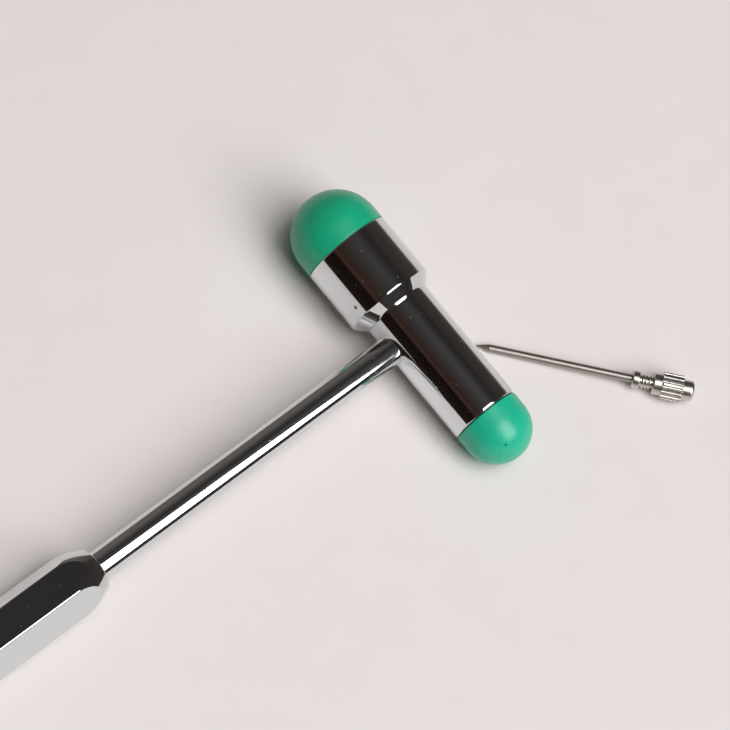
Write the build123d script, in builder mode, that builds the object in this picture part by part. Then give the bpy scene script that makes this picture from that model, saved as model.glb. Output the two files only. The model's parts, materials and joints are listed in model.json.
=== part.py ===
from build123d import *
from math import acos, asin, atan2, cos, degrees, hypot, pi, radians, sin, sqrt, tan
import os

# Reflex hammer of the pattern with a needle in the head and a brush in the handle.
# It lies on a table at Z = 0, as it comes to rest, with its needle screwed out and lying beside it.
# +X runs from the handle to the head, and the small end of the head points to -Y. The origin is the
# middle of the whole model's box, on the table. Sizes are in millimetres, and angles in degrees.

# Head. Stations run along its axis, from the point where it crosses the stem's axis.
large_radius = 8.15          # wide cylinder at the large end
barrel_radius = 6.3
large_rim = 19.0             # crossing to the metal rim of the large end
large_inner_edge = 7.15      # crossing to where the wide cylinder stops
shoulder_length = 2.05
small_rim = 18.8             # crossing to the metal rim of the small end
large_edge_round = 0.37
shoulder_fillet = 0.65
large_rim_round = 0.2
small_rim_round = 0.5

# Rubber tips
dome_inset = 0.05            # the rubber is this much slimmer than the metal that it sits on
large_collar = 2.6           # straight part between the rim and the dome
small_collar = 2.85
large_plug_radius = 5.2
large_plug_length = 7.0
small_plug_radius = 4.0
small_plug_length = 6.0
plug_gap = 0.05
rubber_edge_round = 0.25

# Stem
stem_radius = 2.7
needle_passage_radius = 1.15
stem_depth_in_head = 4.4     # length of its seat in the barrel
stem_depth_in_handle = 12.0
stem_end_round = 0.3
seat_gap = 0.03

# Handle
nose_front = 72.7            # crossing to the front of the handle
handle_length = 95.0
across_flats = 10.0
arris_round = 0.4
nose_length = 7.0            # turned part, up to where the arrises are whole
nose_arc_radius = 14.5
nose_front_round = 0.5
turning_margin = 0.02        # the turned outline clears the arrises by this much
tail_chamfer_length = 1.2
tail_chamfer_depth = 1.1
handle_roll = 3.7            # how far the top flat leans to the large end
brush_bore_radius = 3.0
brush_bore_depth = 47.0

# Needle. Stations run from its point.
needle_radius = 0.72
needle_length = 27.8         # point to the front of the hub
point_length = 2.3
point_radius = 0.08
needle_depth_in_hub = 5.2
ring_length = 1.3
ring_radius = 1.55
neck_length = 2.35
neck_radius = 1.0
bead_count = 3
bead_radius = 0.25
collar_length = 1.55
collar_radius = 1.95
grip_length = 3.7
grip_radius = 2.45
boss_length = 2.1
boss_radius = 1.8
hub_edge_round = 0.23
boss_end_round = 0.7
flute_count = 18
flute_radius = 0.32
flute_depth = 0.22
thread_length = 4.8          # full round wall of the hole that the needle screws into
thread_gap = 0.05
point_along = 10.2           # where the point lies from the crossing, along +X
point_across = -6.75         # and along Y
needle_azimuth = -50.6       # from +X, turning to +Y, from the point to the hub

# Brush, screwed into the tail of the handle
knob_collar_length = 1.2
knob_collar_radius = 3.7
knob_grip_length = 5.3
knob_grip_radius = 4.3
knob_boss_length = 1.5
knob_boss_radius = 3.1
knob_edge_round = 0.4
knob_end_round = 0.9
knob_flute_count = 16
knob_flute_radius = 0.75
knob_flute_depth = 0.5
knob_seat_gap = 0.05
shank_length = 6.0
shank_gap = 0.05
rod_radius = 1.5
rod_length = 20.0
ferrule_wall = 0.45
ferrule_gap = 0.02
ferrule_length = 8.0
ferrule_on_rod = 4.0
bristle_length = 12.0        # free length, past the ferrule
bristle_gap = 0.3            # between the end of the rod and the roots of the bristles
bristle_tip_radius = 2.1
bristle_end_round = 0.8

# The head rests on the inner edge of its wide cylinder and on its small dome. That gives the slope of
# its axis, down towards the small end, and the height of the crossing.
large_dome_radius = large_radius - dome_inset
small_dome_radius = barrel_radius - dome_inset
large_dome_station = large_rim + large_collar
small_dome_station = small_rim + small_collar
shoulder_angle = atan2(large_radius - barrel_radius, shoulder_length)
edge_station = large_inner_edge + large_edge_round * tan(shoulder_angle / 2)
edge_radius = large_radius - large_edge_round
rest_length = small_dome_station + edge_station
edge_angle = atan2(edge_radius, rest_length)
head_slope = edge_angle - asin((small_dome_radius - large_edge_round) / hypot(rest_length, edge_radius))
crossing_height = small_dome_station * sin(head_slope) + small_dome_radius

# The handle rests on its lowest arris, at the tail. That gives the slope of the stem.
apothem = across_flats / 2
arris_centre_radius = (apothem - arris_round) / cos(pi / 6)
arris_drop = arris_centre_radius * cos(pi / 6 - radians(handle_roll)) + arris_round
tail_station = nose_front + handle_length
tail_rest_station = tail_station - tail_chamfer_length
rest_angle = atan2(arris_drop, tail_rest_station)
stem_slope = asin(crossing_height / hypot(tail_rest_station, arris_drop)) - rest_angle

# The needle rests where its point begins to taper and on the front edge of its grip.
collar_start = needle_length + ring_length + neck_length
grip_start = collar_start + collar_length
boss_start = grip_start + grip_length
hub_end = boss_start + boss_length
grip_rest_station = grip_start + hub_edge_round
needle_slope = atan2(grip_radius - needle_radius, grip_rest_station - point_length)
point_height = needle_radius * cos(needle_slope) - point_length * sin(needle_slope)

# Turn of the small end in plan, so that the head stays square to the stem on both slopes
small_end_turn = -acos(tan(head_slope) * tan(stem_slope))

# Reach of the whole model from the crossing. The knob is furthest to -X, the large dome to +Y, and the
# rounded end of the needle's hub to +X and -Y. The origin is in the middle of these four.
needle_turn = radians(needle_azimuth)
knob_length = knob_seat_gap + knob_collar_length + knob_grip_length + knob_boss_length
boss_run = (hub_end - boss_end_round) * cos(needle_slope)
boss_flat = boss_radius - boss_end_round
reach_back = -(tail_station + knob_length) * cos(stem_slope)
reach_front = point_along + boss_run * cos(needle_turn) + boss_flat * abs(sin(needle_turn)) + boss_end_round
reach_large = large_dome_radius - large_dome_station * cos(head_slope) * sin(small_end_turn)
reach_small = point_across + boss_run * sin(needle_turn) - boss_flat * cos(needle_turn) - boss_end_round
crossing = Vector(
    -(reach_back + reach_front) / 2,
    -(reach_large + reach_small) / 2,
    crossing_height,
)

# Directions of the pieces as they lie
to_small_end = Vector(
    cos(head_slope) * cos(small_end_turn),
    cos(head_slope) * sin(small_end_turn),
    -sin(head_slope),
)
to_tail = Vector(-cos(stem_slope), 0, -sin(stem_slope))
hammer_normal = to_tail.cross(to_small_end).normalized()
flat_normal = Vector(0, 0, 1) - to_tail * to_tail.Z
flat_normal = flat_normal.normalized().rotate(Axis((0, 0, 0), to_tail), handle_roll)
to_hub = Vector(
    cos(needle_slope) * cos(needle_turn),
    cos(needle_slope) * sin(needle_turn),
    sin(needle_slope),
)
needle_side_normal = Vector(-sin(needle_turn), cos(needle_turn), 0)

# Planes for half sections: X runs along the piece's own axis, and Y is the radius
large_side = Plane(crossing, x_dir=-to_small_end, z_dir=hammer_normal)
small_side = Plane(crossing, x_dir=to_small_end, z_dir=hammer_normal)
handle_side = Plane(crossing + to_tail * nose_front, x_dir=to_tail, z_dir=hammer_normal)
knob_side = Plane(crossing + to_tail * (tail_station + knob_seat_gap), x_dir=to_tail, z_dir=hammer_normal)
point_place = Vector(crossing.X + point_along, crossing.Y + point_across, point_height)
needle_side = Plane(point_place, x_dir=to_hub, z_dir=needle_side_normal)

# Planes for cross sections: Z runs along the piece's own axis
large_across = Plane(crossing, x_dir=hammer_normal, z_dir=-to_small_end)
small_across = Plane(crossing, x_dir=hammer_normal, z_dir=to_small_end)
stem_across = Plane(crossing, x_dir=flat_normal, z_dir=to_tail)
drill_across = Plane(crossing, x_dir=flat_normal, z_dir=-to_tail)
needle_across = Plane(point_place, x_dir=needle_side_normal, z_dir=to_hub)


def turning_axis(side):
    return Axis(side.origin, side.x_dir)


def corner(station, radius):
    return vertices().sort_by_distance((station, radius, 0))[0]


# Head: one turning, bored at both ends for the rubber, and drilled across for the stem on one side
# and the needle's thread on the other.
stem_seat = barrel_radius - stem_depth_in_head
thread_radius = ring_radius + thread_gap
thread_bottom = sqrt(barrel_radius**2 - thread_radius**2) - thread_length
drill_exit = 2 * barrel_radius
with BuildPart() as head_body:
    with BuildSketch(small_side):
        with BuildLine():
            Polyline(
                (-large_rim, 0),
                (-large_rim, large_radius),
                (-large_inner_edge, large_radius),
                (-large_inner_edge + shoulder_length, barrel_radius),
                (small_rim, barrel_radius),
                (small_rim, 0),
                close=True,
            )
        make_face()
        fillet(corner(-large_rim, large_radius), large_rim_round)
        fillet(corner(-large_inner_edge, large_radius), large_edge_round)
        fillet(corner(-large_inner_edge + shoulder_length, barrel_radius), shoulder_fillet)
        fillet(corner(small_rim, barrel_radius), small_rim_round)
    revolve(axis=turning_axis(small_side))
    with BuildSketch(large_across.offset(large_rim - large_plug_length - plug_gap)):
        Circle(large_plug_radius + plug_gap)
    extrude(amount=large_plug_length + plug_gap, mode=Mode.SUBTRACT)
    with BuildSketch(small_across.offset(small_rim - small_plug_length - plug_gap)):
        Circle(small_plug_radius + plug_gap)
    extrude(amount=small_plug_length + plug_gap, mode=Mode.SUBTRACT)
    with BuildSketch(stem_across.offset(stem_seat)):
        Circle(stem_radius + seat_gap)
    extrude(amount=drill_exit - stem_seat, mode=Mode.SUBTRACT)
    with BuildSketch(drill_across.offset(thread_bottom)):
        Circle(thread_radius)
    extrude(amount=drill_exit - thread_bottom, mode=Mode.SUBTRACT)
    with BuildSketch(drill_across.offset(-stem_seat)):
        Circle(needle_passage_radius)
    extrude(amount=stem_seat + thread_bottom, mode=Mode.SUBTRACT)


def draw_rubber_tip(rim, collar, dome_radius, plug_radius, plug_length):
    # half section of a rubber tip: plug, seat on the metal rim, straight collar and half-round dome
    Polyline(
        (rim + collar + dome_radius, 0),
        (rim - plug_length, 0),
        (rim - plug_length, plug_radius),
        (rim, plug_radius),
        (rim, dome_radius),
        (rim + collar, dome_radius),
    )
    CenterArc((rim + collar, 0), dome_radius, 90, -90)


with BuildPart() as large_rubber_tip:
    with BuildSketch(large_side):
        with BuildLine():
            draw_rubber_tip(large_rim, large_collar, large_dome_radius, large_plug_radius, large_plug_length)
        make_face()
        fillet(corner(large_rim, large_dome_radius), rubber_edge_round)
    revolve(axis=turning_axis(large_side))

with BuildPart() as small_rubber_tip:
    with BuildSketch(small_side):
        with BuildLine():
            draw_rubber_tip(small_rim, small_collar, small_dome_radius, small_plug_radius, small_plug_length)
        make_face()
        fillet(corner(small_rim, small_dome_radius), rubber_edge_round)
    revolve(axis=turning_axis(small_side))

# Stem: a tube, because the needle is kept in it
stem_end = nose_front + stem_depth_in_handle
with BuildPart() as stem:
    with BuildSketch(stem_across.offset(stem_seat)):
        Circle(stem_radius)
        Circle(needle_passage_radius, mode=Mode.SUBTRACT)
    extrude(amount=stem_end - stem_seat)
    fillet(edges().filter_by(GeomType.CIRCLE).group_by(SortBy.RADIUS)[-1], stem_end_round)

# Handle: a length of hexagon bar with its nose and its tail turned
turned_radius = arris_centre_radius + arris_round + turning_margin
nose_arc_angle = asin(nose_length / nose_arc_radius)
nose_rim_radius = turned_radius - nose_arc_radius * (1 - cos(nose_arc_angle))
with BuildPart() as handle:
    with BuildSketch(stem_across.offset(nose_front)):
        RegularPolygon(apothem, 6, major_radius=False, rotation=30)
        fillet(vertices(), arris_round)
    extrude(amount=handle_length)
    with BuildSketch(handle_side):
        with BuildLine():
            CenterArc(
                (nose_length, turned_radius - nose_arc_radius),
                nose_arc_radius,
                90,
                degrees(nose_arc_angle),
            )
            Polyline(
                (nose_length, turned_radius),
                (handle_length - tail_chamfer_length, turned_radius),
                (handle_length, turned_radius - tail_chamfer_depth),
                (handle_length, 0),
                (0, 0),
                (0, nose_rim_radius),
            )
        make_face()
        fillet(corner(0, nose_rim_radius), nose_front_round)
    revolve(axis=turning_axis(handle_side), mode=Mode.INTERSECT)
    with BuildSketch(stem_across.offset(nose_front)):
        Circle(stem_radius + seat_gap)
    extrude(amount=stem_depth_in_handle + seat_gap, mode=Mode.SUBTRACT)
    with BuildSketch(stem_across.offset(tail_station - brush_bore_depth)):
        Circle(brush_bore_radius)
    extrude(amount=brush_bore_depth, mode=Mode.SUBTRACT)

# Needle: a tapered shaft set in a turned hub, with a fluted grip to screw it by
needle_end = needle_length + needle_depth_in_hub
with BuildPart() as needle_shaft:
    with BuildSketch(needle_side):
        with BuildLine():
            Polyline(
                (0, 0),
                (0, point_radius),
                (point_length, needle_radius),
                (needle_end, needle_radius),
                (needle_end, 0),
                close=True,
            )
        make_face()
    revolve(axis=turning_axis(needle_side))

neck_start = needle_length + ring_length
bead_pitch = neck_length / (bead_count + 1)
bead_places = [(neck_start + bead_pitch * (i + 1), neck_radius) for i in range(bead_count)]
with BuildPart() as needle_hub:
    with BuildSketch(needle_side):
        with BuildLine():
            Polyline(
                (needle_length, 0),
                (needle_length, ring_radius),
                (neck_start, ring_radius),
                (neck_start, neck_radius),
                (collar_start, neck_radius),
                (collar_start, collar_radius),
                (grip_start, collar_radius),
                (grip_start, grip_radius),
                (boss_start, grip_radius),
                (boss_start, boss_radius),
                (hub_end, boss_radius),
                (hub_end, 0),
                close=True,
            )
        make_face()
        fillet(corner(needle_length, ring_radius), hub_edge_round)
        fillet(corner(neck_start, ring_radius), hub_edge_round)
        fillet(corner(collar_start, collar_radius), hub_edge_round)
        fillet(corner(grip_start, grip_radius), hub_edge_round)
        fillet(corner(boss_start, grip_radius), hub_edge_round)
        fillet(corner(hub_end, boss_radius), boss_end_round)
        with Locations(bead_places):
            Circle(bead_radius)
    revolve(axis=turning_axis(needle_side))
    with BuildSketch(needle_across.offset(grip_start)):
        with PolarLocations(grip_radius + flute_radius - flute_depth, flute_count):
            Circle(flute_radius)
    extrude(amount=grip_length, mode=Mode.SUBTRACT)
    with BuildSketch(needle_across.offset(needle_length)):
        Circle(needle_radius)
    extrude(amount=needle_depth_in_hub, mode=Mode.SUBTRACT)

# Brush: a fluted knob with its shank and rod turned in one, and a ferrule that holds the bristles
knob_grip_start = knob_collar_length
knob_boss_start = knob_grip_start + knob_grip_length
knob_end = knob_boss_start + knob_boss_length
shank_end = shank_length + knob_seat_gap
rod_end = shank_end + rod_length
ferrule_start = rod_end - ferrule_on_rod
ferrule_end = ferrule_start + ferrule_length
bristle_end = ferrule_end + bristle_length
shank_radius = brush_bore_radius - shank_gap
with BuildPart() as brush_knob:
    with BuildSketch(knob_side):
        with BuildLine():
            Polyline(
                (-rod_end, 0),
                (-rod_end, rod_radius),
                (-shank_end, rod_radius),
                (-shank_end, shank_radius),
                (0, shank_radius),
                (0, knob_collar_radius),
                (knob_grip_start, knob_collar_radius),
                (knob_grip_start, knob_grip_radius),
                (knob_boss_start, knob_grip_radius),
                (knob_boss_start, knob_boss_radius),
                (knob_end, knob_boss_radius),
                (knob_end, 0),
                close=True,
            )
        make_face()
        fillet(corner(0, knob_collar_radius), knob_edge_round)
        fillet(corner(knob_grip_start, knob_grip_radius), knob_edge_round)
        fillet(corner(knob_boss_start, knob_grip_radius), knob_edge_round)
        fillet(corner(knob_end, knob_boss_radius), knob_end_round)
    revolve(axis=turning_axis(knob_side))
    with BuildSketch(stem_across.offset(tail_station + knob_seat_gap + knob_grip_start)):
        with PolarLocations(knob_grip_radius + knob_flute_radius - knob_flute_depth, knob_flute_count):
            Circle(knob_flute_radius)
    extrude(amount=knob_grip_length, mode=Mode.SUBTRACT)

ferrule_bore = rod_radius + ferrule_gap
with BuildPart() as brush_ferrule:
    with BuildSketch(knob_side):
        with BuildLine():
            Polyline(
                (-ferrule_end, ferrule_bore),
                (-ferrule_end, ferrule_bore + ferrule_wall),
                (-ferrule_start, ferrule_bore + ferrule_wall),
                (-ferrule_start, ferrule_bore),
                close=True,
            )
        make_face()
    revolve(axis=turning_axis(knob_side))

with BuildPart() as brush_bristles:
    with BuildSketch(knob_side):
        with BuildLine():
            Polyline(
                (-rod_end - bristle_gap, 0),
                (-rod_end - bristle_gap, rod_radius),
                (-ferrule_end, rod_radius),
                (-bristle_end, bristle_tip_radius),
                (-bristle_end, 0),
                close=True,
            )
        make_face()
        fillet(corner(-bristle_end, bristle_tip_radius), bristle_end_round)
    revolve(axis=turning_axis(knob_side))

head_body.part.label = "head_body"
large_rubber_tip.part.label = "large_rubber_tip"
small_rubber_tip.part.label = "small_rubber_tip"
stem.part.label = "stem"
handle.part.label = "handle"
needle_shaft.part.label = "needle_shaft"
needle_hub.part.label = "needle_hub"
brush_knob.part.label = "brush_knob"
brush_ferrule.part.label = "brush_ferrule"
brush_bristles.part.label = "brush_bristles"

os.makedirs("parts", exist_ok=True)
export_step(head_body.part, "parts/head_body.step")
export_step(large_rubber_tip.part, "parts/large_rubber_tip.step")
export_step(small_rubber_tip.part, "parts/small_rubber_tip.step")
export_step(stem.part, "parts/stem.step")
export_step(handle.part, "parts/handle.step")
export_step(needle_shaft.part, "parts/needle_shaft.step")
export_step(needle_hub.part, "parts/needle_hub.step")
export_step(brush_knob.part, "parts/brush_knob.step")
export_step(brush_ferrule.part, "parts/brush_ferrule.step")
export_step(brush_bristles.part, "parts/brush_bristles.step")
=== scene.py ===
import json
import math
import random

import bmesh
import bpy
from mathutils import Matrix, Vector

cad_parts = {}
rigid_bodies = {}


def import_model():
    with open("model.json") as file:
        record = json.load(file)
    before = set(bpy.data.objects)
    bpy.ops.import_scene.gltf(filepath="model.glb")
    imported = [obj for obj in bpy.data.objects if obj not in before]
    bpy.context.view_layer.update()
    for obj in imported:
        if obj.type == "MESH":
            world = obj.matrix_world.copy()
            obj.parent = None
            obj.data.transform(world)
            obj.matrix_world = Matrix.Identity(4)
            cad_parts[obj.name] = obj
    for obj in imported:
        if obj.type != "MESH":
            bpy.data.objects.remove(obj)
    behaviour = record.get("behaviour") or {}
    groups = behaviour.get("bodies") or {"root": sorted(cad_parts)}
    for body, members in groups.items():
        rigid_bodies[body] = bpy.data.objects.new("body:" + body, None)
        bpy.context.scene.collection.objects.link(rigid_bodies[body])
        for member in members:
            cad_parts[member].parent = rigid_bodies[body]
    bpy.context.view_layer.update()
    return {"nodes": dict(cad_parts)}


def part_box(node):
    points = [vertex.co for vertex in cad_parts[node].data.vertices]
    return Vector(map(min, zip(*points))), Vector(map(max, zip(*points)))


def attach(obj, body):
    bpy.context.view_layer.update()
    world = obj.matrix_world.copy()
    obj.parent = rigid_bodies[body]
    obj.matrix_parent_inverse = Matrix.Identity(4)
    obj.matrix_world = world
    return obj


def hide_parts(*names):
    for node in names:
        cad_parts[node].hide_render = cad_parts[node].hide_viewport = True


# an empty file first, so that nothing but the hammer is counted
bpy.ops.object.select_all(action="SELECT")
bpy.ops.object.delete()

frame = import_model()
nodes = frame["nodes"]
mm = 0.001
noiseLow, noiseHigh = 0.3, 0.7  # nearly all of a noise texture's values lie between these
random.seed(11)
print("frame loaded:", len(nodes), "nodes")

# where the stem meets the head, and the way the head points towards its small end
crossing = Vector((69.917, 3.945, 7.659)) * mm
towardsSmallEnd = Vector((0.00098, -0.99788, -0.06508))


def linearColour(hexText):
    channels = [int(hexText[i:i + 2], 16) / 255 for i in (1, 3, 5)]
    return tuple(c / 12.92 if c <= 0.04045 else ((c + 0.055) / 1.055) ** 2.4 for c in channels) + (1.0,)


# one node with its settings, its colour stops and what feeds it
def addNode(tree, kind, place, settings=None, links=None, stops=None):
    node = tree.nodes.new(kind)
    node.location = place
    for name, value in (settings or {}).items():
        if isinstance(name, int) or name in node.inputs:
            node.inputs[name].default_value = value
        else:
            setattr(node, name, value)
    if stops:
        ramp = node.color_ramp
        while len(ramp.elements) < len(stops):
            ramp.elements.new(0.5)
        for element, (position, colour) in zip(ramp.elements, stops):
            element.position = position
            element.color = linearColour(colour)
    for socket, source in (links or {}).items():
        tree.links.new(source, node.inputs[socket])
    return node


def startMaterial(name):
    material = bpy.data.materials.new(name)
    material.use_nodes = True
    material.node_tree.nodes.clear()
    return material, material.node_tree


def giveFinish(piece, material):
    piece.data.materials.clear()
    piece.data.materials.append(material)


# chromium plate
# Bright chromium over nickel on turned brass: mirror-like and near neutral, with a faint film from
# handling, specks of dust, a few pits and one small dent on the large cylinder.
chrome = {
    "colour": "#dbe0e0",
    "dustColour": "#a3a8ae",
    "pitColour": "#2f2c2a",
    "hazeSize": 5.0 * mm,
    "hazeRange": (0.35, 0.7),
    "roughLow": 0.025,
    "roughHigh": 0.06,
    "filmWeight": 0.5,  # the film from handling
    "filmRoughness": 0.3,
    "dustSpacing": 1.7 * mm,
    "dustRadius": 0.12 * mm,
    "dustCore": 0.6,  # the share of a mark's radius in which it is at its strongest
    "dustRoughness": 0.3,
    "dustCover": 0.16,  # the share of the metal that a speck hides
    "pitSpacing": 4.6 * mm,
    "pitRadius": 0.11 * mm,
    "pitCore": 0.5,
    "pitDepth": 0.04 * mm,
    "dentPlace": Vector((62.47, 12.78, 11.58)) * mm,
    "dentRadius": 0.45 * mm,
    "dentCore": 0.3,
}


def makeChromePlate():
    material, tree = startMaterial("brightChromiumPlate")
    place = addNode(tree, "ShaderNodeTexCoord", (-1500, 0)).outputs["Object"]
    haze = addNode(tree, "ShaderNodeTexNoise", (-1250, 300), {"Scale": 1 / chrome["hazeSize"], "Detail": 3.0},
                   {"Vector": place})
    rough = addNode(tree, "ShaderNodeMapRange", (-1000, 300),
                    {"From Min": chrome["hazeRange"][0], "From Max": chrome["hazeRange"][1],
                     "To Min": chrome["roughLow"], "To Max": chrome["roughHigh"]},
                    {"Value": haze.outputs["Fac"]})
    # dust: small dots scattered through the surface, each a different size
    dust = addNode(tree, "ShaderNodeTexVoronoi", (-1250, 0), {"Scale": 1 / chrome["dustSpacing"]},
                   {"Vector": place})
    dustDot = addNode(tree, "ShaderNodeMapRange", (-1000, 0),
                      {"From Min": chrome["dustRadius"] / chrome["dustSpacing"],
                       "From Max": chrome["dustCore"] * chrome["dustRadius"] / chrome["dustSpacing"]},
                      {"Value": dust.outputs["Distance"]})
    pit = addNode(tree, "ShaderNodeTexVoronoi", (-1250, -300), {"Scale": 1 / chrome["pitSpacing"]},
                  {"Vector": place})
    pitDot = addNode(tree, "ShaderNodeMapRange", (-1000, -300),
                     {"From Min": chrome["pitRadius"] / chrome["pitSpacing"],
                      "From Max": chrome["pitCore"] * chrome["pitRadius"] / chrome["pitSpacing"]},
                     {"Value": pit.outputs["Distance"]})
    dent = addNode(tree, "ShaderNodeVectorMath", (-1250, -600),
                   {"operation": "DISTANCE", 1: tuple(chrome["dentPlace"])}, {0: place})
    dentDot = addNode(tree, "ShaderNodeMapRange", (-1000, -600),
                      {"From Min": chrome["dentRadius"],
                       "From Max": chrome["dentCore"] * chrome["dentRadius"]},
                      {"Value": dent.outputs["Value"]})
    depth = addNode(tree, "ShaderNodeMath", (-850, -450), {"operation": "MAXIMUM"},
                    {0: pitDot.outputs["Result"], 1: dentDot.outputs["Result"]})
    dusted = addNode(tree, "ShaderNodeMix", (-700, 100),
                     {"data_type": "RGBA", 6: linearColour(chrome["colour"]),
                      7: linearColour(chrome["dustColour"])},
                     {0: dustDot.outputs["Result"]})
    pitted = addNode(tree, "ShaderNodeMix", (-450, 100),
                     {"data_type": "RGBA", 7: linearColour(chrome["pitColour"])},
                     {0: depth.outputs["Value"], 6: dusted.outputs[2]})
    dustRough = addNode(tree, "ShaderNodeMath", (-700, 350),
                        {"operation": "MULTIPLY_ADD", 1: chrome["dustRoughness"]},
                        {0: dustDot.outputs["Result"], 2: rough.outputs["Result"]})
    pitHeight = addNode(tree, "ShaderNodeMath", (-700, -300), {"operation": "MULTIPLY", 1: -1.0},
                        {0: depth.outputs["Value"]})
    pitBump = addNode(tree, "ShaderNodeBump", (-450, -300), {"Strength": 1.0, "Distance": chrome["pitDepth"]},
                      {"Height": pitHeight.outputs["Value"]})
    # dust lies on the plate and is no metal, so under a speck the plate is a little less so
    metal = addNode(tree, "ShaderNodeMath", (-450, 350),
                    {"operation": "MULTIPLY_ADD", 1: -chrome["dustCover"], 2: 1.0},
                    {0: dustDot.outputs["Result"]})
    shader = addNode(tree, "ShaderNodeBsdfPrincipled", (-150, 0),
                     {"Coat Weight": chrome["filmWeight"], "Coat Roughness": chrome["filmRoughness"]},
                     {"Base Color": pitted.outputs[2], "Metallic": metal.outputs["Value"],
                      "Roughness": dustRough.outputs["Value"], "Normal": pitBump.outputs["Normal"]})
    addNode(tree, "ShaderNodeOutputMaterial", (200, 0), links={"Surface": shader.outputs["BSDF"]})
    return material


# green rubber
# Compression-moulded green rubber: a satin skin with a fine grain, a painted shade line where its collar
# meets the plate, standing in for the shadow in that gap, and dust that clings to it. The small tip is a
# paler mint, with one dark fleck.
rubber = {
    "largeColour": "#1db387",
    "largeDeepColour": "#18a077",
    "smallColour": "#26bb98",
    "smallDeepColour": "#20b28f",
    # the colour of the painted shade line at the rim, standing in for the shadow in the gap
    "rimShadeColour": "#0e3428",
    "dustColour": "#174a38",
    "cloudSize": 4.0 * mm,
    "grainSize": 0.22 * mm,
    "grainStrength": 0.6,
    "grainDepth": 0.006 * mm,
    "roughLow": 0.26,
    "roughHigh": 0.35,
    "ior": 1.5,
    "scatterWeight": 0.15,
    "scatterDepth": 1.2 * mm,
    "scatterRadius": (0.5, 1.0, 0.8),
    "dustSpacing": 2.6 * mm,
    "dustRadius": 0.12 * mm,
    "dustCore": 0.5,
    "dustCover": 0.4,
    # the painted shade line at the rim: how wide it is and how dark
    "rimShadeWidth": 0.22 * mm,
    "rimShadeCover": 0.7,
    "largeRim": -19.0 * mm,  # along the head from the crossing
    "smallRim": 18.8 * mm,
    "fleckPlace": Vector((67.35, -21.64, 10.31)) * mm,
    "fleckRadius": 0.28 * mm,
    "fleckCore": 0.6,
}


def makeGreenRubber(name, colour, deepColour, rim, outwards):
    material, tree = startMaterial(name)
    place = addNode(tree, "ShaderNodeTexCoord", (-1500, 0)).outputs["Object"]
    cloud = addNode(tree, "ShaderNodeTexNoise", (-1250, 300),
                    {"Scale": 1 / rubber["cloudSize"], "Detail": 4.0}, {"Vector": place})
    body = addNode(tree, "ShaderNodeMix", (-1000, 300),
                   {"data_type": "RGBA", 6: linearColour(deepColour), 7: linearColour(colour)},
                   {0: cloud.outputs["Fac"]})
    # distance along the head from the rim, for the painted shade line along the gap at the rim
    fromCrossing = addNode(tree, "ShaderNodeVectorMath", (-1250, 0),
                           {"operation": "SUBTRACT", 1: tuple(crossing)}, {0: place})
    along = addNode(tree, "ShaderNodeVectorMath", (-1050, 0),
                    {"operation": "DOT_PRODUCT", 1: tuple(towardsSmallEnd)},
                    {0: fromCrossing.outputs["Vector"]})
    # painted shade: strongest at the rim and fading out along the head
    edge = addNode(tree, "ShaderNodeMapRange", (-850, 0),
                   {"From Min": rim, "From Max": rim + outwards * rubber["rimShadeWidth"],
                    "To Min": rubber["rimShadeCover"], "To Max": 0.0},
                   {"Value": along.outputs["Value"]})
    # the painted shade line mixed into the rubber's colour
    rimShaded = addNode(tree, "ShaderNodeMix", (-600, 200),
                    {"data_type": "RGBA", 7: linearColour(rubber["rimShadeColour"])},
                    {0: edge.outputs["Result"], 6: body.outputs[2]})
    dust = addNode(tree, "ShaderNodeTexVoronoi", (-1250, -300), {"Scale": 1 / rubber["dustSpacing"]},
                   {"Vector": place})
    dustDot = addNode(tree, "ShaderNodeMapRange", (-1000, -300),
                      {"From Min": rubber["dustRadius"] / rubber["dustSpacing"],
                       "From Max": rubber["dustCore"] * rubber["dustRadius"] / rubber["dustSpacing"],
                       "To Max": rubber["dustCover"]},
                      {"Value": dust.outputs["Distance"]})
    fleck = addNode(tree, "ShaderNodeVectorMath", (-1250, -600),
                    {"operation": "DISTANCE", 1: tuple(rubber["fleckPlace"])}, {0: place})
    fleckDot = addNode(tree, "ShaderNodeMapRange", (-1000, -600),
                       {"From Min": rubber["fleckRadius"],
                        "From Max": rubber["fleckCore"] * rubber["fleckRadius"]},
                       {"Value": fleck.outputs["Value"]})
    marks = addNode(tree, "ShaderNodeMath", (-700, -450), {"operation": "MAXIMUM"},
                    {0: dustDot.outputs["Result"], 1: fleckDot.outputs["Result"]})
    dusted = addNode(tree, "ShaderNodeMix", (-350, 200),
                     {"data_type": "RGBA", 7: linearColour(rubber["dustColour"])},
                     {0: marks.outputs["Value"], 6: rimShaded.outputs[2]})
    grain = addNode(tree, "ShaderNodeTexNoise", (-850, -300),
                    {"Scale": 1 / rubber["grainSize"], "Detail": 2.0}, {"Vector": place})
    grainBump = addNode(tree, "ShaderNodeBump", (-450, -300),
                        {"Strength": rubber["grainStrength"], "Distance": rubber["grainDepth"]},
                        {"Height": grain.outputs["Fac"]})
    rough = addNode(tree, "ShaderNodeMapRange", (-600, -100),
                    {"From Min": noiseLow, "From Max": noiseHigh,
                     "To Min": rubber["roughLow"], "To Max": rubber["roughHigh"]},
                    {"Value": cloud.outputs["Fac"]})
    shader = addNode(tree, "ShaderNodeBsdfPrincipled", (-100, 0),
                     {"IOR": rubber["ior"], "Subsurface Weight": rubber["scatterWeight"],
                      "Subsurface Scale": rubber["scatterDepth"],
                      "Subsurface Radius": rubber["scatterRadius"]},
                     {"Base Color": dusted.outputs[2], "Roughness": rough.outputs["Result"],
                      "Normal": grainBump.outputs["Normal"]})
    addNode(tree, "ShaderNodeOutputMaterial", (250, 0), links={"Surface": shader.outputs["BSDF"]})
    return material


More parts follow.
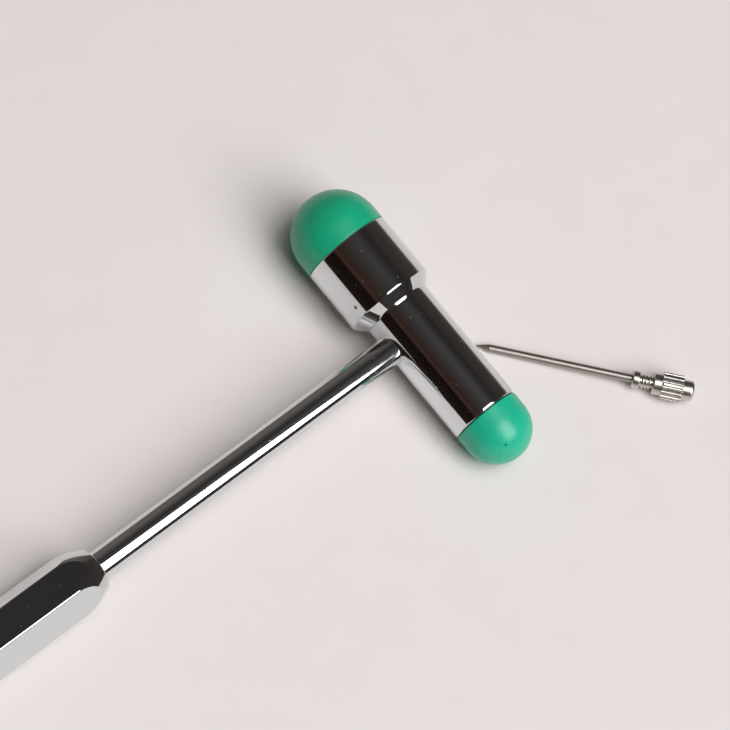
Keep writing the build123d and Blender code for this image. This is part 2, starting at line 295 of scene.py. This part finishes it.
# needle steel
# Stainless wire drawn through a die and ground to a point: satin and a little warm, with hair-fine
# lines along it.
needle = {
    "colour": "#aca59e",
    "along": math.radians(-50.6),
    "lineWidth": 0.05 * mm,
    "lineLength": 6.0 * mm,
    "lineStrength": 0.25,
    "lineDepth": 0.002 * mm,
    "roughLow": 0.36,
    "roughHigh": 0.46,
}


def makeDrawnSteel():
    material, tree = startMaterial("drawnStainlessWire")
    place = addNode(tree, "ShaderNodeTexCoord", (-1300, 0)).outputs["Object"]
    turned = addNode(tree, "ShaderNodeMapping", (-1100, 0),
                     {"vector_type": "POINT", "Rotation": (0, 0, -needle["along"])}, {"Vector": place})
    stretched = addNode(tree, "ShaderNodeMapping", (-900, 0),
                        {"vector_type": "POINT",
                         "Scale": (1 / needle["lineLength"], 1 / needle["lineWidth"],
                                   1 / needle["lineWidth"])},
                        {"Vector": turned.outputs["Vector"]})
    lines = addNode(tree, "ShaderNodeTexNoise", (-700, 0), {"Scale": 1.0, "Detail": 2.0},
                    {"Vector": stretched.outputs["Vector"]})
    rough = addNode(tree, "ShaderNodeMapRange", (-450, 100),
                    {"From Min": noiseLow, "From Max": noiseHigh,
                     "To Min": needle["roughLow"], "To Max": needle["roughHigh"]},
                    {"Value": lines.outputs["Fac"]})
    lineBump = addNode(tree, "ShaderNodeBump", (-450, -200),
                       {"Strength": needle["lineStrength"], "Distance": needle["lineDepth"]},
                       {"Height": lines.outputs["Fac"]})
    shader = addNode(tree, "ShaderNodeBsdfPrincipled", (-100, 0),
                     {"Base Color": linearColour(needle["colour"]), "Metallic": 1.0},
                     {"Roughness": rough.outputs["Result"], "Normal": lineBump.outputs["Normal"]})
    addNode(tree, "ShaderNodeOutputMaterial", (250, 0), links={"Surface": shader.outputs["BSDF"]})
    return material


# nickel plate
# Bright nickel on the turned brass hub and ferrule: a little warmer and softer than the chromium.
nickel = {
    "colour": "#d2cec8",
    "dullColour": "#aca79f",
    "patchSize": 1.1 * mm,
    "patchRange": (0.5, 0.75),
    "roughLow": 0.24,
    "roughHigh": 0.36,
}


def makeNickelPlate():
    material, tree = startMaterial("brightNickelPlate")
    place = addNode(tree, "ShaderNodeTexCoord", (-1200, 0)).outputs["Object"]
    patch = addNode(tree, "ShaderNodeTexNoise", (-950, 0), {"Scale": 1 / nickel["patchSize"], "Detail": 4.0},
                    {"Vector": place})
    dulled = addNode(tree, "ShaderNodeMapRange", (-700, 100),
                     {"From Min": nickel["patchRange"][0], "From Max": nickel["patchRange"][1]},
                     {"Value": patch.outputs["Fac"]})
    colour = addNode(tree, "ShaderNodeMix", (-450, 200),
                     {"data_type": "RGBA", 6: linearColour(nickel["colour"]),
                      7: linearColour(nickel["dullColour"])},
                     {0: dulled.outputs["Result"]})
    rough = addNode(tree, "ShaderNodeMapRange", (-450, -100),
                    {"From Min": noiseLow, "From Max": noiseHigh,
                     "To Min": nickel["roughLow"], "To Max": nickel["roughHigh"]},
                    {"Value": patch.outputs["Fac"]})
    shader = addNode(tree, "ShaderNodeBsdfPrincipled", (-100, 0), {"Metallic": 1.0},
                     {"Base Color": colour.outputs[2], "Roughness": rough.outputs["Result"]})
    addNode(tree, "ShaderNodeOutputMaterial", (250, 0), links={"Surface": shader.outputs["BSDF"]})
    return material


# nylon bristle
# Extruded nylon filament, cut and gathered: milky, slightly see-through, glossy along each strand.
bristle = {
    "colour": "#e8e2d2",
    "shadeColour": "#cfc6b0",
    "toneSize": 0.35 * mm,
    "roughness": 0.32,
    "ior": 1.53,
    "scatterWeight": 0.3,
    "scatterDepth": 0.3 * mm,
    "scatterRadius": (1.0, 0.9, 0.7),
    "perRing": (1, 6, 12, 17, 22, 27),
    "ringStep": 0.285 * mm,
    "strandRadius": 0.1 * mm,
    "strandShare": 0.97,  # of the tuft's length
    "strandCuts": 4,
    "tipInset": 0.3,  # of the strand's radius, as the next one
    "tipRise": 0.4,
    "smoothAngle": math.radians(50),
    "flare": 1.3,
    "turnSpread": 0.1,
    "reachRange": (0.95, 1.02),
    "leanSpread": 0.004,
    "lengthRange": (0.955, 1.0),
    "spinRange": (0, 6.28),
}


def makeNylon():
    material, tree = startMaterial("extrudedNylonFilament")
    place = addNode(tree, "ShaderNodeTexCoord", (-1100, 0)).outputs["Object"]
    tone = addNode(tree, "ShaderNodeTexNoise", (-850, 0),
                   {"Scale": 1 / bristle["toneSize"], "Detail": 1.0}, {"Vector": place})
    colour = addNode(tree, "ShaderNodeMix", (-550, 100),
                     {"data_type": "RGBA", 6: linearColour(bristle["shadeColour"]),
                      7: linearColour(bristle["colour"])},
                     {0: tone.outputs["Fac"]})
    shader = addNode(tree, "ShaderNodeBsdfPrincipled", (-200, 0),
                     {"Roughness": bristle["roughness"], "IOR": bristle["ior"],
                      "Subsurface Weight": bristle["scatterWeight"],
                      "Subsurface Scale": bristle["scatterDepth"],
                      "Subsurface Radius": bristle["scatterRadius"]},
                     {"Base Color": colour.outputs[2]})
    addNode(tree, "ShaderNodeOutputMaterial", (150, 0), links={"Surface": shader.outputs["BSDF"]})
    return material


chromePlate = makeChromePlate()
largeRubber = makeGreenRubber("mouldedGreenRubberLarge", rubber["largeColour"], rubber["largeDeepColour"],
                              rubber["largeRim"], -1)
smallRubber = makeGreenRubber("mouldedGreenRubberSmall", rubber["smallColour"], rubber["smallDeepColour"],
                              rubber["smallRim"], 1)
needleSteel = makeDrawnSteel()
nickelPlate = makeNickelPlate()
nylon = makeNylon()

finishes = {
    "handle": chromePlate,
    "stem": chromePlate,
    "head_body": chromePlate,
    "brush_knob": chromePlate,
    "large_rubber_tip": largeRubber,
    "small_rubber_tip": smallRubber,
    "needle_shaft": needleSteel,
    "needle_hub": nickelPlate,
    "brush_ferrule": nickelPlate,
    "brush_bristles": nylon,
}
for name, material in finishes.items():
    giveFinish(nodes[name], material)
print("finishes given to", len(finishes), "nodes")


# bristles
def makeBristles():
    low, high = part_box("brush_bristles")
    tuftLength = high.x - low.x
    strandLength = tuftLength * bristle["strandShare"]
    middle = (low + high) / 2
    bpy.ops.object.select_all(action="DESELECT")
    # one strand along X, its root at the origin
    bpy.ops.mesh.primitive_cylinder_add(vertices=6, radius=bristle["strandRadius"], depth=strandLength,
                                        location=(strandLength / 2, 0, 0), rotation=(0, math.radians(90), 0))
    strand = bpy.context.object
    bpy.ops.object.transform_apply(location=True, rotation=True, scale=True)
    bpy.ops.object.mode_set(mode="EDIT")
    bpy.ops.mesh.select_all(action="DESELECT")
    mesh = bmesh.from_edit_mesh(strand.data)
    for edge in mesh.edges:
        edge.select = abs(edge.verts[0].co.x - edge.verts[1].co.x) > 0.5 * tuftLength
    bmesh.update_edit_mesh(strand.data)
    bpy.ops.mesh.subdivide(number_cuts=bristle["strandCuts"])
    # the cut end is a little rounded
    bpy.ops.mesh.select_all(action="DESELECT")
    mesh = bmesh.from_edit_mesh(strand.data)
    for face in mesh.faces:
        face.select = face.calc_center_median().x > 0.99 * strandLength
    bmesh.update_edit_mesh(strand.data)
    bpy.ops.mesh.inset(thickness=bristle["tipInset"] * bristle["strandRadius"])
    bpy.ops.transform.translate(value=(bristle["tipRise"] * bristle["strandRadius"], 0, 0))
    bpy.ops.object.mode_set(mode="OBJECT")
    bpy.ops.object.shade_smooth_by_angle(angle=bristle["smoothAngle"])
    strands = []
    for ring, count in enumerate(bristle["perRing"]):
        for step in range(count):
            # every other ring is turned by half a step
            turn = 2 * math.pi * (step + 0.5 * (ring % 2)) / count
            turn = turn + random.uniform(-bristle["turnSpread"], bristle["turnSpread"])
            reach = ring * bristle["ringStep"] * random.uniform(*bristle["reachRange"])
            copy = strand.copy()
            copy.data = strand.data.copy()
            bpy.context.collection.objects.link(copy)
            # each strand starts in the ferrule and leans outwards to the tip
            start = Vector((low.x, middle.y + reach * math.cos(turn), middle.z + reach * math.sin(turn)))
            lean = (bristle["flare"] - 1) * reach / tuftLength
            lean = lean + random.uniform(-bristle["leanSpread"], bristle["leanSpread"])
            outwards = Vector((0, math.cos(turn), math.sin(turn)))
            along = Vector((1, 0, 0)) + outwards * lean
            shorter = random.uniform(*bristle["lengthRange"])
            copy.matrix_world = (Matrix.Translation(start)
                                 @ along.to_track_quat("X", "Z").to_matrix().to_4x4()
                                 @ Matrix.Rotation(random.uniform(*bristle["spinRange"]), 4, "X")
                                 @ Matrix.Scale(shorter, 4, Vector((1, 0, 0))))
            strands.append(copy)
    bpy.data.objects.remove(strand)
    bpy.ops.object.select_all(action="DESELECT")
    for copy in strands:
        copy.select_set(True)
    bpy.context.view_layer.objects.active = strands[0]
    bpy.ops.object.join()
    tuft = bpy.context.object
    bpy.ops.object.transform_apply(location=True, rotation=True, scale=True)
    tuft.name = "bristle_tuft"
    giveFinish(tuft, nylon)
    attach(tuft, "brush")
    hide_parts("brush_bristles")
    print("bristles:", len(strands), "strands")


makeBristles()

# table
# A pale laminate bench top, pinkish grey and almost matt, with a faint mottle.
table = {
    "colour": "#e7e1e0",
    "mottleColour": "#e4dcdb",
    "mottleSize": 9.0 * mm,
    "roughness": 0.6,
    "reach": 6.0,
}


def makeTable():
    material, tree = startMaterial("paleLaminateTop")
    place = addNode(tree, "ShaderNodeTexCoord", (-1000, 0)).outputs["Object"]
    mottle = addNode(tree, "ShaderNodeTexNoise", (-750, 0), {"Scale": 1 / table["mottleSize"], "Detail": 5.0},
                     {"Vector": place})
    colour = addNode(tree, "ShaderNodeMix", (-450, 0),
                     {"data_type": "RGBA", 6: linearColour(table["colour"]),
                      7: linearColour(table["mottleColour"])},
                     {0: mottle.outputs["Fac"]})
    shader = addNode(tree, "ShaderNodeBsdfPrincipled", (-150, 0), {"Roughness": table["roughness"]},
                     {"Base Color": colour.outputs[2]})
    addNode(tree, "ShaderNodeOutputMaterial", (200, 0), links={"Surface": shader.outputs["BSDF"]})
    bpy.ops.object.select_all(action="DESELECT")
    bpy.ops.mesh.primitive_plane_add(size=2 * table["reach"], location=(0, 0, 0))
    top = bpy.context.object
    top.name = "table_top"
    giveFinish(top, material)
    print("table laid")


makeTable()

# light
# One tall soft box in front of the small end and a weak bounce from the ceiling, in a dark room.
light = {
    "softBoxTowards": Vector((0.042, -0.566, 0.824)),
    "softBoxDistance": 2.2,
    "softBoxSize": (1.455, 2.5),
    "softBoxLean": math.radians(5.3),
    "softBoxPower": 55.0,
    "bounceTowards": Vector((0.1, -0.12, 0.98)),
    "bounceDistance": 2.0,
    "bounceSize": (1.6, 1.6),
    "bouncePower": 9.0,
    "roomStops": ((0.0, "#1c1411"), (0.045, "#1a100d"), (0.078, "#160d0c"), (0.092, "#231614"),
                  (0.107, "#382825"), (0.125, "#44312d"), (0.143, "#3c2925"), (0.165, "#37251f"),
                  (0.205, "#362721"), (0.26, "#352b27"), (0.45, "#353030"), (0.56, "#373534"),
                  (0.67, "#302c2c"), (0.78, "#292523"), (0.87, "#373331"), (0.95, "#3c3331"),
                  (0.965, "#413836"), (0.976, "#433b38"), (0.986, "#3c3531"), (0.99, "#3f3832"),
                  (0.9935, "#57514c"), (0.997, "#7a736e")),
    "backWall": "#67615d",
    "backWallRange": (0.35, 0.75),
}


def addLamp(name, towards, distance, size, power, lean=0.0):
    data = bpy.data.lights.new(name, "AREA")
    data.shape = "RECTANGLE"
    data.size, data.size_y = size
    data.energy = power
    lamp = bpy.data.objects.new(name, data)
    bpy.context.collection.objects.link(lamp)
    direction = towards.normalized()
    lamp.matrix_world = (Matrix.Translation(crossing + direction * distance)
                         @ direction.to_track_quat("Z", "Y").to_matrix().to_4x4()
                         @ Matrix.Rotation(lean, 4, "Z"))
    return lamp


addLamp("soft_box", light["softBoxTowards"], light["softBoxDistance"], light["softBoxSize"],
        light["softBoxPower"], light["softBoxLean"])
# the ceiling's bounce: it softens the shadows, and the plate doesn't mirror it
bounce = addLamp("ceiling_bounce", light["bounceTowards"], light["bounceDistance"], light["bounceSize"],
                 light["bouncePower"])
bounce.visible_glossy = False

room = bpy.data.worlds.new("dark_room")
bpy.context.scene.world = room
room.use_nodes = True
roomTree = room.node_tree
roomTree.nodes.clear()
# what the plate mirrors: the room from left to right, and the wall behind the large end
roomPlace = addNode(roomTree, "ShaderNodeTexCoord", (-1300, 0)).outputs["Generated"]
roomSides = addNode(roomTree, "ShaderNodeSeparateXYZ", (-1100, 0), links={"Vector": roomPlace})
leftToRight = addNode(roomTree, "ShaderNodeMapRange", (-900, 150), {"From Min": -1.0, "From Max": 1.0},
                      {"Value": roomSides.outputs["X"]})
roomTone = addNode(roomTree, "ShaderNodeValToRGB", (-650, 150), links={"Fac": leftToRight.outputs["Result"]},
                   stops=light["roomStops"])
wallPart = addNode(roomTree, "ShaderNodeMapRange", (-900, -150),
                   {"From Min": light["backWallRange"][0], "From Max": light["backWallRange"][1]},
                   {"Value": roomSides.outputs["Y"]})
roomColour = addNode(roomTree, "ShaderNodeMix", (-350, 0),
                     {"data_type": "RGBA", 7: linearColour(light["backWall"])},
                     {0: wallPart.outputs["Result"], 6: roomTone.outputs["Color"]})
roomGlow = addNode(roomTree, "ShaderNodeBackground", (-100, 0), {"Strength": 1.0},
                   {"Color": roomColour.outputs[2]})
addNode(roomTree, "ShaderNodeOutputWorld", (150, 0), links={"Surface": roomGlow.outputs["Background"]})
print("light set")

# camera
photo = {
    "place": Vector((-305.841, -164.131, 813.148)) * mm,
    "right": Vector((0.73791, -0.645, 0.19868)),
    "up": Vector((0.54002, 0.74085, 0.39942)),
    "lens": 259.5,
    "sensor": 36.0,
    "clips": (0.05, 50.0),
}
lensData = bpy.data.cameras.new("photo_camera")
lensData.lens = photo["lens"]
lensData.sensor_width = photo["sensor"]
lensData.clip_start, lensData.clip_end = photo["clips"]
camera = bpy.data.objects.new("photo_camera", lensData)
bpy.context.collection.objects.link(camera)
right = photo["right"].normalized()
up = (photo["up"] - right * photo["up"].dot(right)).normalized()
back = right.cross(up)
camera.matrix_world = Matrix.Translation(photo["place"]) @ Matrix((right, up, back)).transposed().to_4x4()
bpy.context.scene.camera = camera
bpy.context.scene.view_settings.view_transform = "Standard"
print("camera set")
